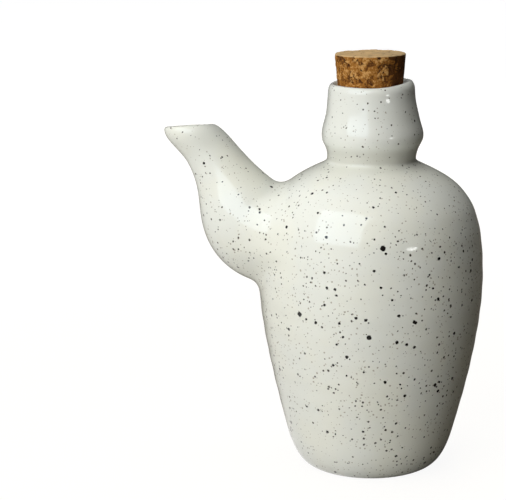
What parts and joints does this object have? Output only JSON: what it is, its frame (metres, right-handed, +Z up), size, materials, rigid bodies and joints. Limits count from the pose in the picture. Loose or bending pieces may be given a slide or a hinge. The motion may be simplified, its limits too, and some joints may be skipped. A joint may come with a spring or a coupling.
{
  "type": "soy sauce dispenser",
  "caption": "Ovoid speckled stoneware pouring bottle with a bulging collar neck, an upswept S-shaped spout and a tapered cork stopper, for serving soy sauce at table.",
  "frame": {"origin": "centre of the flat foot that the bottle stands on", "axes": "+Z up along the bottle's axis, -X towards the spout's tip, +Y away from a viewer who sees the spout on the left"},
  "size_m": [0.1145, 0.081, 0.15],
  "materials": {
    "glazed_stoneware": "glossy warm white glaze with fine brown flecks and a few larger iron spots",
    "cork": "matt agglomerated cork, granular with dark pits"
  },
  "bodies": {
    "bottle": {"bottle_body": "glazed_stoneware", "neck_collar": "glazed_stoneware", "spout": "glazed_stoneware"},
    "cork": {"cork_stopper": "cork"}
  },
  "joints": [
    {"name": "cork_pull", "type": "slide", "parent": "bottle", "child": "cork", "axis": [0, 0, 1], "range_m": [0, 0.045]}
  ]
}
